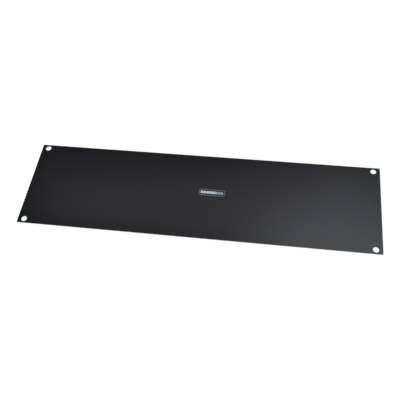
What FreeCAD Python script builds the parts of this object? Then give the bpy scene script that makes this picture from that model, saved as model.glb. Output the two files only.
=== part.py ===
import FreeCAD, Part
import math
import os

import Sketcher

# A flat blanking panel for a 19-inch rack, and the small nameplate stuck on its front face. Millimetres.
#
# Origin: the middle of the panel's back face. +X runs along the panel, to the right as seen from the front,
# +Y runs up the panel to its top edge, and +Z points out of its front face.

SHEET = "Sizes"

SIZES = (
    # The rack's own grid, and how the panel sits in it.
    ("rack_unit", 44.45, "height of one rack unit"),
    ("units_tall", 3, "rack units that the panel covers"),
    ("height_relief", 0.8, "how much lower the panel is than those units, so that neighbours clear it"),
    ("panel_width", 482.6, "width over the rack's two rails"),
    # The sheet.
    ("sheet_thickness", 1.2, "thickness of the steel with its coat"),
    ("panel_corner_radius", 0.8, "outline radius of a sheared corner under its coat"),
    ("coat_edge_radius", 0.2, "rounding of the coat along the outline and round the holes"),
    # The fixing holes.
    ("hole_diameter", 8.0, "clearance hole for a rack screw"),
    ("hole_to_end", 8.75, "from a hole's axis to the panel's end"),
    ("hole_to_unit_edge", 6.35, "from a hole's axis to the edge of the outer rack unit"),
    # The nameplate.
    ("plate_width", 36.0, "length of the nameplate"),
    ("plate_height", 10.0, "height of the nameplate"),
    ("plate_thickness", 0.6, "thickness of the nameplate at its rim"),
    ("plate_corner_radius", 2.8, "outline radius of the nameplate's corners"),
    ("plate_edge_radius", 0.12, "rounding of the rim's outer edge"),
    ("rim_width", 0.7, "width of the raised rim round the printed field"),
    ("field_depth", 0.12, "how far the printed field lies below the rim"),
    ("plate_right", 16.7, "from the panel's middle to the nameplate's, to the right"),
    ("plate_up", 4.9, "from the panel's middle to the nameplate's, upwards"),
    ("plate_turn", 0.6, "clockwise turn of the hand-placed nameplate, in degrees"),
)

# Lengths worked out from the sizes, as expressions for the features that need them.
PANEL_HEIGHT = f"({SHEET}.units_tall * {SHEET}.rack_unit - {SHEET}.height_relief)"
HOLE_PITCH_ACROSS = f"({SHEET}.panel_width - 2 * {SHEET}.hole_to_end)"
HOLE_PITCH_UP = f"({SHEET}.units_tall * {SHEET}.rack_unit - 2 * {SHEET}.hole_to_unit_edge)"
FIELD_WIDTH = f"({SHEET}.plate_width - 2 * {SHEET}.rim_width)"
FIELD_HEIGHT = f"({SHEET}.plate_height - 2 * {SHEET}.rim_width)"
FIELD_CORNER_RADIUS = f"({SHEET}.plate_corner_radius - {SHEET}.rim_width)"

HOLES_PER_ROW = 2
HOLE_ROWS = 2

# How a sketch constraint names the points of a line or arc, and the sketch's own origin.
START, END, CENTRE = 1, 2, 3
ORIGIN = -1

LENGTH_TOLERANCE = 1e-4
VOLUME_TOLERANCE = 1e-3  # as a share of the volume that a cut should take


def make_sheet(doc):
    """The driving dimensions, a row each: what it is, its value under an alias, and a remark."""
    sheet = doc.addObject("Spreadsheet::Sheet", SHEET)
    for row, (alias, value, remark) in enumerate(SIZES, start=1):
        sheet.set(f"A{row}", alias.replace("_", " "))
        sheet.set(f"B{row}", str(value))
        sheet.setAlias(f"B{row}", alias)
        sheet.set(f"C{row}", remark)
    doc.recompute()
    return sheet


def make_body(doc, label):
    body = doc.addObject("PartDesign::Body", "Body_" + label)
    body.Label = label
    return body


def add_sketch(body, name, lift=None):
    """A sketch on the body's own XY plane, raised by the expression lift where one is given."""
    plane = next(feature for feature in body.Origin.OriginFeatures if feature.Role == "XY_Plane")
    sketch = body.newObject("Sketcher::SketchObject", name)
    sketch.AttachmentSupport = [(plane, "")]
    sketch.MapMode = "FlatFace"
    if lift:
        sketch.setExpression("AttachmentOffset.Base.z", lift)
    return sketch


def bind(sketch, constraint, name, expression):
    """Adds a driving dimension to the sketch and ties it to the sizes."""
    index = sketch.addConstraint(constraint)
    sketch.renameConstraint(index, name)
    sketch.setExpression(f"Constraints.{name}", expression)


def draw_rounded_rectangle(sketch, width, height, radius):
    """A rectangle with round corners about the sketch's origin. Its three sizes are expressions.

    It is first drawn roughly, in order round the loop, and the constraints then give it its size.
    """
    half_x, half_y, rough_radius = 40.0, 20.0, 5.0
    in_x, in_y = half_x - rough_radius, half_y - rough_radius

    def side(x0, y0, x1, y1):
        return sketch.addGeometry(Part.LineSegment(FreeCAD.Vector(x0, y0, 0), FreeCAD.Vector(x1, y1, 0)))

    def corner(x, y, quadrant):
        circle = Part.Circle(FreeCAD.Vector(x, y, 0), FreeCAD.Vector(0, 0, 1), rough_radius)
        start = quadrant * math.pi / 2
        return sketch.addGeometry(Part.ArcOfCircle(circle, start, start + math.pi / 2))

    right = side(half_x, -in_y, half_x, in_y)
    top_right = corner(in_x, in_y, 0)
    top = side(in_x, half_y, -in_x, half_y)
    top_left = corner(-in_x, in_y, 1)
    left = side(-half_x, in_y, -half_x, -in_y)
    bottom_left = corner(-in_x, -in_y, 2)
    bottom = side(-in_x, -half_y, in_x, -half_y)
    bottom_right = corner(in_x, -in_y, 3)

    loop = (right, top_right, top, top_left, left, bottom_left, bottom, bottom_right)
    for before, after in zip(loop, loop[1:] + loop[:1]):
        sketch.addConstraint(Sketcher.Constraint("Tangent", before, END, after, START))
    for level in (top, bottom):
        sketch.addConstraint(Sketcher.Constraint("Horizontal", level))
    for upright in (left, right):
        sketch.addConstraint(Sketcher.Constraint("Vertical", upright))
    for other in (top_left, bottom_left, bottom_right):
        sketch.addConstraint(Sketcher.Constraint("Equal", top_right, other))
    sketch.addConstraint(Sketcher.Constraint("Symmetric", top, START, bottom, START, ORIGIN, START))

    bind(sketch, Sketcher.Constraint("DistanceX", left, START, right, START, 2 * half_x), "wide", width)
    bind(sketch, Sketcher.Constraint("DistanceY", bottom, START, top, START, 2 * half_y), "high", height)
    bind(sketch, Sketcher.Constraint("Radius", top_right, rough_radius), "corner", radius)


def draw_hole_centre(sketch):
    """One hole's circle, at the lower left corner of the rectangle that the four holes make."""
    rough_x, rough_y, rough_radius = 30.0, 10.0, 3.0
    circle = Part.Circle(FreeCAD.Vector(-rough_x, -rough_y, 0), FreeCAD.Vector(0, 0, 1), rough_radius)
    ring = sketch.addGeometry(circle)
    left = Sketcher.Constraint("DistanceX", ring, CENTRE, ORIGIN, START, rough_x)
    bind(sketch, left, "left", f"{HOLE_PITCH_ACROSS} / 2")
    down = Sketcher.Constraint("DistanceY", ring, CENTRE, ORIGIN, START, rough_y)
    bind(sketch, down, "down", f"{HOLE_PITCH_UP} / 2")
    bind(sketch, Sketcher.Constraint("Diameter", ring, 2 * rough_radius), "bore", f"{SHEET}.hole_diameter")


def add_pad(body, sketch, name, length):
    pad = body.newObject("PartDesign::Pad", name)
    pad.Profile = sketch
    pad.setExpression("Length", length)
    return pad


def add_pattern(body, name, direction, count, length):
    """A row of count copies along one axis of a sketch, for a multiple pattern to use."""
    pattern = body.newObject("PartDesign::LinearPattern", name)
    pattern.Direction = direction
    pattern.Occurrences = count
    pattern.setExpression("Length", length)
    return pattern


def lies_flat_at(edge, height):
    """Whether the whole edge lies in the level plane at that height."""
    box = edge.BoundBox
    return abs(box.ZMin - height) < LENGTH_TOLERANCE and abs(box.ZMax - height) < LENGTH_TOLERANCE


def add_fillet(body, base, name, wanted, radius):
    """Rounds each edge of the base feature that wanted() accepts."""
    edges = [f"Edge{n}" for n, edge in enumerate(base.Shape.Edges, start=1) if wanted(edge)]
    if not edges:
        raise ValueError(f"{base.Label} has no edge where {name} needs one")
    fillet = body.newObject("PartDesign::Fillet", name)
    fillet.Base = (base, edges)
    fillet.setExpression("Radius", radius)
    return fillet


def check_cut(before, after, expected):
    """Stops with a message unless the cut took the volume that it should: a cut can miss without an error."""
    taken = before.Shape.Volume - after.Shape.Volume
    if abs(taken - expected) > VOLUME_TOLERANCE * expected:
        raise RuntimeError(f"{after.Label} took {taken:.2f} mm3, not {expected:.2f} mm3")


def make_panel(doc, sheet):
    """The blank: a flat sheet with a clearance hole near each corner, its edges rounded by the coat."""
    body = make_body(doc, "panel")

    outline = add_sketch(body, "PanelOutline")
    draw_rounded_rectangle(outline, f"{SHEET}.panel_width", PANEL_HEIGHT, f"{SHEET}.panel_corner_radius")
    blank = add_pad(body, outline, "Blank", f"{SHEET}.sheet_thickness")
    doc.recompute()

    # One hole, drilled from the front, and the pattern that repeats it to the other corners.
    centre = add_sketch(body, "HoleCentre", lift=f"{SHEET}.sheet_thickness")
    draw_hole_centre(centre)
    doc.recompute()
    hole = body.newObject("PartDesign::Hole", "ScrewHole")
    hole.Profile = centre
    hole.DepthType = "ThroughAll"
    hole.ThreadType = "None"
    hole.HoleCutType = "None"
    hole.DrillPoint = "Flat"
    hole.setExpression("Diameter", f"{SHEET}.hole_diameter")
    doc.recompute()
    corners = body.newObject("PartDesign::MultiTransform", "HoleAtEachCorner")
    corners.Originals = [hole]
    corners.Transformations = [
        add_pattern(body, "HolesAcross", (outline, ["H_Axis"]), HOLES_PER_ROW, HOLE_PITCH_ACROSS),
        add_pattern(body, "HolesUp", (outline, ["V_Axis"]), HOLE_ROWS, HOLE_PITCH_UP),
    ]
    body.Tip = corners
    doc.recompute()
    one_hole = math.pi * (sheet.hole_diameter / 2) ** 2 * sheet.sheet_thickness
    check_cut(blank, corners, HOLES_PER_ROW * HOLE_ROWS * one_hole)

    def on_a_face(edge):
        return lies_flat_at(edge, 0) or lies_flat_at(edge, sheet.sheet_thickness)

    body.Tip = add_fillet(body, corners, "CoatedEdges", on_a_face, f"{SHEET}.coat_edge_radius")
    return body


def make_nameplate(doc, sheet):
    """The nameplate: a thin plate with round corners and a raised rim, stuck flat on the panel's face."""
    body = make_body(doc, "nameplate")

    outline = add_sketch(body, "PlateOutline")
    corner_radius = f"{SHEET}.plate_corner_radius"
    draw_rounded_rectangle(outline, f"{SHEET}.plate_width", f"{SHEET}.plate_height", corner_radius)
    plate = add_pad(body, outline, "Plate", f"{SHEET}.plate_thickness")
    doc.recompute()

    field = add_sketch(body, "PrintedField", lift=f"{SHEET}.plate_thickness")
    draw_rounded_rectangle(field, FIELD_WIDTH, FIELD_HEIGHT, FIELD_CORNER_RADIUS)
    doc.recompute()
    recess = body.newObject("PartDesign::Pocket", "FieldRecess")
    recess.Profile = field
    recess.Type = "Length"
    recess.setExpression("Length", f"{SHEET}.field_depth")
    doc.recompute()
    check_cut(plate, recess, Part.Face(field.Shape).Area * sheet.field_depth)

    # The top of the rim has an inner and an outer loop, and only the outer one goes beyond the field.
    half_field_x = sheet.plate_width / 2 - sheet.rim_width
    half_field_y = sheet.plate_height / 2 - sheet.rim_width

    def round_the_rim(edge):
        box = edge.BoundBox
        beyond_x = max(-box.XMin, box.XMax) > half_field_x + LENGTH_TOLERANCE
        beyond_y = max(-box.YMin, box.YMax) > half_field_y + LENGTH_TOLERANCE
        return lies_flat_at(edge, sheet.plate_thickness) and (beyond_x or beyond_y)

    body.Tip = add_fillet(body, recess, "RimEdge", round_the_rim, f"{SHEET}.plate_edge_radius")

    # It seats on the panel's front face.
    body.setExpression("Placement.Base.x", f"{SHEET}.plate_right")
    body.setExpression("Placement.Base.y", f"{SHEET}.plate_up")
    body.setExpression("Placement.Base.z", f"{SHEET}.sheet_thickness")
    body.setExpression("Placement.Rotation.Angle", f"-{SHEET}.plate_turn")
    return body


def check_document(doc, bodies):
    """Stops with a message if any feature failed, or a body isn't one valid solid."""
    for item in doc.Objects:
        if "Invalid" in item.State or "Error" in item.State:
            raise RuntimeError(f"{item.Label} failed: {item.State}")
    for body in bodies:
        if body.Shape.isNull() or not body.Shape.isValid():
            raise RuntimeError(f"{body.Label} has no valid shape")
        if len(body.Shape.Solids) != 1:
            raise RuntimeError(f"{body.Label} has {len(body.Shape.Solids)} solids and needs one")


def main():
    doc = FreeCAD.newDocument("BlankingPanel")
    sheet = make_sheet(doc)
    bodies = (make_panel(doc, sheet), make_nameplate(doc, sheet))
    doc.recompute()
    check_document(doc, bodies)
    os.makedirs("parts", exist_ok=True)
    for body in bodies:
        body.Shape.exportStep(f"parts/{body.Label}.step")
        box = body.Shape.optimalBoundingBox(False, False)
        size = f"{box.XLength:.2f} x {box.YLength:.2f} x {box.ZLength:.2f} mm"
        print(f"{body.Label}: {size}, {body.Shape.Volume:.1f} mm3")


main()
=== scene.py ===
import math

import bmesh
import bpy
from mathutils import Matrix, Vector


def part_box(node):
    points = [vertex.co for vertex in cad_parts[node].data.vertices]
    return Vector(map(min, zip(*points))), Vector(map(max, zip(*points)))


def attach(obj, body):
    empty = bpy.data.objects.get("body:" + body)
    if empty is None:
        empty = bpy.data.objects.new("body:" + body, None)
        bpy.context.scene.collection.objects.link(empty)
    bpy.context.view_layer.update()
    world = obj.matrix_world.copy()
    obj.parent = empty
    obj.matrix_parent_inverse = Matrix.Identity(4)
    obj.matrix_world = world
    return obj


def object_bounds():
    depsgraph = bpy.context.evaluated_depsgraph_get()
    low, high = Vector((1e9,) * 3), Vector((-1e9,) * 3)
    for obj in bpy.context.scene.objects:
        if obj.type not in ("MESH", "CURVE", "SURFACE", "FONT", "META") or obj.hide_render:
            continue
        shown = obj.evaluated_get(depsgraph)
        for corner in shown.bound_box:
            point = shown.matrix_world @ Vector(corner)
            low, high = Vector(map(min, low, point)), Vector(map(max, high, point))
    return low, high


# A flat black rack blanking panel with a small nameplate, lying on a pale floor in soft studio light.
# Everything is in metres, in the row's frame: +X along the panel, +Y up it, +Z out of its front face.
# Angles are in degrees, and colours are linear.

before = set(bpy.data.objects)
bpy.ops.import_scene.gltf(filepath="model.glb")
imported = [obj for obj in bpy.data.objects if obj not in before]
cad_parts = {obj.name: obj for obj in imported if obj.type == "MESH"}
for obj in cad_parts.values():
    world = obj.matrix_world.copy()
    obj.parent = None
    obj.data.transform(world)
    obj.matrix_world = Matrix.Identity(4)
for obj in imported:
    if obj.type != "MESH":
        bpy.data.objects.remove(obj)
cad_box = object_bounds()

MM = 0.001

# The camera looks down on the panel from the front and a little from the right, tipped slightly.
VIEW_AZIMUTH = 13.2
VIEW_ELEVATION = 57.1
VIEW_ROLL = -6.5
VIEW_DISTANCE = 0.758
VIEW_AIM = Vector((0.002, -0.0081, 0.0))  # from the middle of the panel's front face
LENS_MM = 50.35
SENSOR_MM = 36.0

# Where most values of a fractal noise lie. A noise's rate is its features to the metre.
NOISE_LOW = 0.3
NOISE_HIGH = 0.7

# The powder coat: an orange peel, a finer grain and a slow cloudiness.
PEEL_RATE = 520.0
PEEL_LIFT = 0.02 * MM
PEEL_ROUGHNESS = (-0.015, 0.015)  # added to the cloudiness's own
GRAIN_RATE = 2600.0
GRAIN_LIFT = 0.003 * MM
CLOUD_RATE = 14.0
CLOUD_ROUGHNESS = (0.224, 0.244)
COAT_DARK = (0.0048, 0.0041, 0.0080, 1.0)
COAT_LIGHT = (0.0058, 0.0051, 0.0092, 1.0)
COAT_AT_EDGE = (0.0032, 0.0028, 0.0053, 1.0)
COAT_REFLECTION = (0.93, 0.91, 1.0, 1.0)  # the tint of what it reflects
EDGE_BAND = 22.0 * MM  # how far in from the panel's edges its coat is darker

# The nameplate's own sizes, which its finish and its print are laid out on.
PLATE_WIDTH = 36.0 * MM
PLATE_HEIGHT = 10.0 * MM
PLATE_CORNER = 2.8 * MM
RIM_WIDTH = 0.7 * MM
RIM_BLUR = 0.02 * MM
FIELD_DEPTH = 0.12 * MM
PLATE_TURN = -0.6  # about +Z, so slightly clockwise

# The nameplate's finish: a bare rim brushed lengthwise, and a dark speckled field.
BRUSH_RATES = (60.0, 2500.0, 60.0)
BRUSH_LIFT = 0.01 * MM
BRUSH_STRENGTH = 0.08
RIM_DARK = (0.18, 0.184, 0.195, 1.0)
RIM_LIGHT = (0.24, 0.244, 0.255, 1.0)
RIM_ROUGHNESS = (0.34, 0.44)
SPECKLE_RATE = 900.0
FIELD_DARK = (0.010, 0.010, 0.012, 1.0)
FIELD_LIGHT = (0.014, 0.014, 0.017, 1.0)
FIELD_ROUGHNESS = (0.20, 0.26)

# The print: one row of upright bars, white and then light blue.
BAR_WIDTH = 1.2 * MM
BAR_PITCH = 2.1 * MM
BAR_HEIGHT = 4.0 * MM
BAR_CORNER = 0.3 * MM
BAR_CORNER_STEPS = 4
PRINT_THICKNESS = 0.04 * MM
WHITE_BARS = 10
BLUE_BARS = 5

# The ink: where it covers thinly and where it covers fully, and how rough it dries.
WHITE_THIN = (0.78, 0.78, 0.80, 1.0)
WHITE_FULL = (0.86, 0.86, 0.88, 1.0)
BLUE_THIN = (0.30, 0.42, 0.57, 1.0)
BLUE_FULL = (0.36, 0.49, 0.64, 1.0)
INK_RATE = 1500.0
INK_LIFT = 0.01 * MM
INK_STRENGTH = 0.1
INK_ROUGHNESS = (0.38, 0.46)

# The floor, a wide disc just under the panel, and the glow that lifts it to white where it is seen. The
# glow grows with the distance from the panel's middle, as the lamps' light on the floor falls.
FLOOR_RADIUS = 12.0
FLOOR_SIDES = 96
FLOOR_GAP = 0.05 * MM
FLOOR_COLOUR = (0.86, 0.86, 0.86, 1.0)
FLOOR_ROUGHNESS = 0.9
FLOOR_SPECULAR = 0.2
GLOW_NEAR = 0.15
GLOW_FAR = 2.2
GLOW_NEAR_STRENGTH = 0.23
GLOW_FAR_STRENGTH = 0.85

# The room: white up to one height of a direction's z, and dim above another.
WHITE_BELOW = 0.35
DIM_ABOVE = 0.6
DIM_STRENGTH = 0.08

WHITE = (1.0, 1.0, 1.0, 1.0)


# ---------------------------------------------------------------- materials


def feed(node, inputs):
    """Sets a node's sockets. inputs pairs a socket with its value, or with the output that feeds it."""
    for socket, value in inputs:
        if isinstance(value, bpy.types.NodeSocket):
            node.id_data.links.new(value, node.inputs[socket])
        else:
            node.inputs[socket].default_value = value


def node_adder(tree):
    """A function that adds a node to a tree, with its settings and its inputs."""

    def add(kind, inputs=(), **settings):
        node = tree.nodes.new(kind)
        for key, value in settings.items():
            setattr(node, key, value)
        feed(node, inputs)
        return node

    return add


def new_material(name):
    """A material, its Principled shader, and a function that adds a node to it."""
    material = bpy.data.materials.new(name)
    material.use_nodes = True
    return material, material.node_tree.nodes["Principled BSDF"], node_adder(material.node_tree)


def object_position(add):
    return add("ShaderNodeTexCoord").outputs["Object"]


def split_axes(add, vector):
    return add("ShaderNodeSeparateXYZ", [(0, vector)]).outputs


def math_node(add, operation, first, second=None):
    inputs = [(0, first)]
    if second is not None:
        inputs.append((1, second))
    return add("ShaderNodeMath", inputs, operation=operation).outputs[0]


def map_range(add, value, start, end, low=0.0, high=1.0, curve="LINEAR"):
    """Takes a value from start..end to low..high along a curve, and holds it there past either end."""
    inputs = [("Value", value), ("From Min", start), ("From Max", end), ("To Min", low), ("To Max", high)]
    return add("ShaderNodeMapRange", inputs, interpolation_type=curve).outputs["Result"]


def noise(add, position, rate, detail):
    """Fractal noise from 0 to 1, with rate features to the metre."""
    inputs = [("Vector", position), ("Scale", rate), ("Detail", detail)]
    return add("ShaderNodeTexNoise", inputs).outputs["Fac"]


def spread(add, value, low=0.0, high=1.0):
    """Spreads most of a noise over low to high."""
    return map_range(add, value, NOISE_LOW, NOISE_HIGH, low, high)


def blend(add, factor, first, second):
    """A colour from first, at factor 0, to second, at 1."""
    # Many of this node's sockets share a name, so the ones for colours are given by number.
    return add("ShaderNodeMix", [(0, factor), (6, first), (7, second)], data_type="RGBA").outputs[2]


def bump(add, height, strength, lift, under=None):
    """A normal tilted by a height that lifts the surface, over another normal where one is given."""
    inputs = [("Height", height), ("Strength", strength), ("Distance", lift)]
    if under is not None:
        inputs.append(("Normal", under))
    return add("ShaderNodeBump", inputs).outputs["Normal"]


def open_face(add, position):
    """0 along the panel's edges, rising to 1 over the open face."""
    low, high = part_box("panel")
    axes = split_axes(add, position)
    share = 1.0
    for axis in (0, 1):
        middle = (low[axis] + high[axis]) / 2
        reach = (high[axis] - low[axis]) / 2
        offset = math_node(add, "ABSOLUTE", math_node(add, "SUBTRACT", axes[axis], middle))
        ramp = map_range(add, offset, reach, reach - EDGE_BAND, curve="SMOOTHSTEP")
        share = math_node(add, "MULTIPLY", ramp, share)
    return share


def powder_coat():
    """Satin black powder coat: fine orange peel over a slow unevenness, darker towards the edges."""
    material, shader, add = new_material("powder_coat")
    position = object_position(add)
    peel = noise(add, position, PEEL_RATE, detail=2.0)
    grain = noise(add, position, GRAIN_RATE, detail=1.0)
    cloud = noise(add, position, CLOUD_RATE, detail=3.0)

    shade = blend(add, spread(add, cloud), COAT_DARK, COAT_LIGHT)
    shade = blend(add, open_face(add, position), COAT_AT_EDGE, shade)
    roughness = spread(add, cloud, *CLOUD_ROUGHNESS)
    coarse = bump(add, peel, strength=1.0, lift=PEEL_LIFT)
    feed(shader, [
        ("Base Color", shade),
        ("Roughness", math_node(add, "ADD", roughness, spread(add, peel, *PEEL_ROUGHNESS))),
        ("Specular Tint", COAT_REFLECTION),
        ("Normal", bump(add, grain, strength=1.0, lift=GRAIN_LIFT, under=coarse)),
    ])
    return material


def depth_in_plate(add, local):
    """How far in from the nameplate's rounded outline a point is. local is its place about the middle."""
    axes = split_axes(add, local)
    # Each way, how far the point is past the end of a side's straight part, where the corners' arcs start.
    straight_x = PLATE_WIDTH / 2 - PLATE_CORNER
    straight_y = PLATE_HEIGHT / 2 - PLATE_CORNER
    across = math_node(add, "SUBTRACT", math_node(add, "ABSOLUTE", axes["X"]), straight_x)
    upward = math_node(add, "SUBTRACT", math_node(add, "ABSOLUTE", axes["Y"]), straight_y)
    # By a corner the way out is measured from its arc's middle, and elsewhere straight to the nearest side.
    past_x = math_node(add, "MAXIMUM", across, 0.0)
    past_y = math_node(add, "MAXIMUM", upward, 0.0)
    square_x = math_node(add, "MULTIPLY", past_x, past_x)
    square_y = math_node(add, "MULTIPLY", past_y, past_y)
    outward = math_node(add, "SQRT", math_node(add, "ADD", square_x, square_y))
    inward = math_node(add, "MINIMUM", math_node(add, "MAXIMUM", across, upward), 0.0)
    return math_node(add, "SUBTRACT", PLATE_CORNER, math_node(add, "ADD", outward, inward))


def plate_finish(centre):
    """The nameplate: a brushed bare rim and edge, and a dark printed field inside it."""
    material, shader, add = new_material("nameplate_finish")
    position = object_position(add)
    place = [("Vector", position), ("Location", centre), ("Rotation", (0.0, 0.0, math.radians(PLATE_TURN)))]
    local = add("ShaderNodeMapping", place, vector_type="TEXTURE").outputs[0]
    field = map_range(add, depth_in_plate(add, local), RIM_WIDTH - RIM_BLUR, RIM_WIDTH + RIM_BLUR)

    brushed = add("ShaderNodeMapping", [("Vector", local), ("Scale", BRUSH_RATES)]).outputs[0]
    streaks = noise(add, brushed, 1.0, detail=2.0)
    speckle = noise(add, position, SPECKLE_RATE, detail=2.0)

    bare = blend(add, spread(add, streaks), RIM_DARK, RIM_LIGHT)
    dark = blend(add, spread(add, speckle), FIELD_DARK, FIELD_LIGHT)
    rim_roughness = spread(add, streaks, *RIM_ROUGHNESS)
    field_roughness = spread(add, speckle, *FIELD_ROUGHNESS)
    feed(shader, [
        ("Base Color", blend(add, field, bare, dark)),
        ("Metallic", math_node(add, "SUBTRACT", 1.0, field)),
        ("Roughness", map_range(add, field, 0.0, 1.0, rim_roughness, field_roughness)),
        ("Normal", bump(add, streaks, BRUSH_STRENGTH, BRUSH_LIFT)),
    ])
    return material


def print_ink(name, thin, full):
    """Screen-printed ink, a little uneven in how well it covers."""
    material, shader, add = new_material(name)
    cover = noise(add, object_position(add), INK_RATE, detail=2.0)
    feed(shader, [
        ("Base Color", blend(add, spread(add, cover), thin, full)),
        ("Roughness", spread(add, cover, *INK_ROUGHNESS)),
        ("Normal", bump(add, cover, INK_STRENGTH, INK_LIFT)),
    ])
    return material


def floor_finish():
    """Plain white paper. Where it is seen it glows up to white, and it keeps the shadows on it."""
    material, shader, add = new_material("floor_finish")
    rays = add("ShaderNodeLightPath").outputs
    seen = math_node(add, "ADD", rays["Is Camera Ray"], rays["Is Glossy Ray"])
    seen = math_node(add, "ADD", seen, rays["Is Transmission Ray"])
    away = add("ShaderNodeVectorMath", [(0, object_position(add))], operation="LENGTH").outputs["Value"]
    glow = map_range(add, away, GLOW_NEAR, GLOW_FAR, GLOW_NEAR_STRENGTH, GLOW_FAR_STRENGTH)
    feed(shader, [
        ("Base Color", FLOOR_COLOUR),
        ("Roughness", FLOOR_ROUGHNESS),
        ("Specular IOR Level", FLOOR_SPECULAR),
        ("Emission Color", WHITE),
        ("Emission Strength", math_node(add, "MULTIPLY", seen, glow)),
    ])
    return material


# ---------------------------------------------------------------- pieces


def rounded_outline(width, height, radius, steps):
    """Points round a rectangle with round corners, anticlockwise, about its own middle."""
    points = []
    for quadrant, (sign_x, sign_y) in enumerate(((1, 1), (-1, 1), (-1, -1), (1, -1))):
        middle = Vector((sign_x * (width / 2 - radius), sign_y * (height / 2 - radius)))
        for step in range(steps + 1):
            angle = (quadrant + step / steps) * math.pi / 2
            points.append(middle + radius * Vector((math.cos(angle), math.sin(angle))))
    return points


def add_bar(mesh, middle_x):
    """One printed bar: a closed slab whose foot is at height 0, and whose top edge is bevelled."""
    narrowing = PRINT_THICKNESS
    foot = rounded_outline(BAR_WIDTH, BAR_HEIGHT, BAR_CORNER, BAR_CORNER_STEPS)
    top = rounded_outline(BAR_WIDTH - narrowing, BAR_HEIGHT - narrowing, BAR_CORNER, BAR_CORNER_STEPS)
    rings = []
    for points, height in ((foot, 0.0), (foot, PRINT_THICKNESS / 2), (top, PRINT_THICKNESS)):
        rings.append([mesh.verts.new((middle_x + p.x, p.y, height)) for p in points])
    count = len(foot)
    for lower, upper in zip(rings, rings[1:]):
        for i in range(count):
            j = (i + 1) % count
            mesh.faces.new((lower[i], lower[j], upper[j], upper[i]))
    mesh.faces.new(reversed(rings[0]))
    mesh.faces.new(rings[-1])


def add_print(name, material, first_x, count, plate):
    """A row of bars on the nameplate's field, starting with the bar whose middle is at first_x."""
    mesh = bmesh.new()
    for i in range(count):
        add_bar(mesh, first_x + i * BAR_PITCH)
    mesh.transform(plate)
    data = bpy.data.meshes.new(name)
    mesh.to_mesh(data)
    mesh.free()
    piece = bpy.data.objects.new(name, data)
    bpy.context.scene.collection.objects.link(piece)
    data.materials.append(material)
    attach(piece, "root")


def dress(node, material):
    """Gives a CAD node its finish."""
    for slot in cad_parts[node].material_slots:
        slot.link = "OBJECT"
        slot.material = material


def build_panel():
    dress("panel", powder_coat())


def build_nameplate():
    low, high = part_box("nameplate")
    middle = (low + high) / 2
    field_level = high.z - FIELD_DEPTH
    dress("nameplate", plate_finish((middle.x, middle.y, high.z)))

    turn = Matrix.Rotation(math.radians(PLATE_TURN), 4, "Z")
    plate = Matrix.Translation((middle.x, middle.y, field_level)) @ turn
    first_x = -(WHITE_BARS + BLUE_BARS - 1) * BAR_PITCH / 2
    first_blue_x = first_x + WHITE_BARS * BAR_PITCH
    white = print_ink("white_ink", WHITE_THIN, WHITE_FULL)
    blue = print_ink("blue_ink", BLUE_THIN, BLUE_FULL)
    add_print("print_white", white, first_x, WHITE_BARS, plate)
    add_print("print_blue", blue, first_blue_x, BLUE_BARS, plate)


# ---------------------------------------------------------------- studio


def build_floor():
    """The floor, wide enough to reach the horizon from every side."""
    mesh = bmesh.new()
    bmesh.ops.create_circle(mesh, cap_ends=True, segments=FLOOR_SIDES, radius=FLOOR_RADIUS)
    data = bpy.data.meshes.new("floor")
    mesh.to_mesh(data)
    mesh.free()
    floor = bpy.data.objects.new("floor", data)
    floor.location.z = cad_box[0].z - FLOOR_GAP
    bpy.context.scene.collection.objects.link(floor)
    data.materials.append(floor_finish())


def facing(target, azimuth, elevation, distance, roll):
    """The place of what faces target. Azimuth 0 is off the panel's lower edge, and 90 off its right end."""
    level = math.cos(math.radians(elevation))
    right = math.sin(math.radians(azimuth)) * level
    forward = math.cos(math.radians(azimuth)) * level
    back = Vector((right, -forward, math.sin(math.radians(elevation))))
    turn = back.to_track_quat("Z", "Y").to_matrix().to_4x4()
    return Matrix.Translation(target + back * distance) @ turn @ Matrix.Rotation(math.radians(roll), 4, "Z")


def add_softbox(name, place, size, radiance, tint):
    """A rectangular softbox of an even radiance. place is its matrix, and size its width and height."""
    width, height = size
    data = bpy.data.lights.new(name, "AREA")
    data.shape = "RECTANGLE"
    data.size = width
    data.size_y = height
    data.energy = radiance * math.pi * width * height
    data.color = tint
    lamp = bpy.data.objects.new(name, data)
    lamp.matrix_world = place
    bpy.context.scene.collection.objects.link(lamp)


def build_lamps():
    """A large softbox nearly overhead, whose reflection lights the right end, and a strip for the rest."""
    middle = Vector((0.0, 0.0, 0.0))
    overhead = facing(middle, azimuth=-5.6, elevation=72.7, distance=2.5, roll=68.3)
    add_softbox("overhead_softbox", overhead, size=(6.5, 1.94), radiance=2.22, tint=(0.93, 1.0, 0.98))
    strip = facing(middle, azimuth=201.6, elevation=57.2, distance=1.985, roll=-14.1)
    add_softbox("strip_light", strip, size=(1.228, 0.193), radiance=1.11, tint=(1.0, 1.0, 1.0))


def build_world():
    """A soft room: white towards the horizon, and dim overhead."""
    world = bpy.data.worlds.new("studio")
    world.use_nodes = True
    add = node_adder(world.node_tree)
    direction = add("ShaderNodeTexCoord").outputs["Generated"]
    height = split_axes(add, direction)["Z"]
    strength = map_range(add, height, WHITE_BELOW, DIM_ABOVE, 1.0, DIM_STRENGTH, curve="SMOOTHSTEP")
    feed(world.node_tree.nodes["Background"], [("Color", WHITE), ("Strength", strength)])
    bpy.context.scene.world = world


def build_camera():
    low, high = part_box("panel")
    middle = (low + high) / 2
    aim = Vector((middle.x, middle.y, high.z)) + VIEW_AIM
    data = bpy.data.cameras.new("camera")
    data.lens = LENS_MM
    data.sensor_width = SENSOR_MM
    camera = bpy.data.objects.new("camera", data)
    camera.matrix_world = facing(aim, VIEW_AZIMUTH, VIEW_ELEVATION, VIEW_DISTANCE, VIEW_ROLL)
    bpy.context.scene.collection.objects.link(camera)
    bpy.context.scene.camera = camera


build_panel()
build_nameplate()
build_floor()
build_world()
build_lamps()
build_camera()
bpy.context.scene.view_settings.view_transform = "Standard"
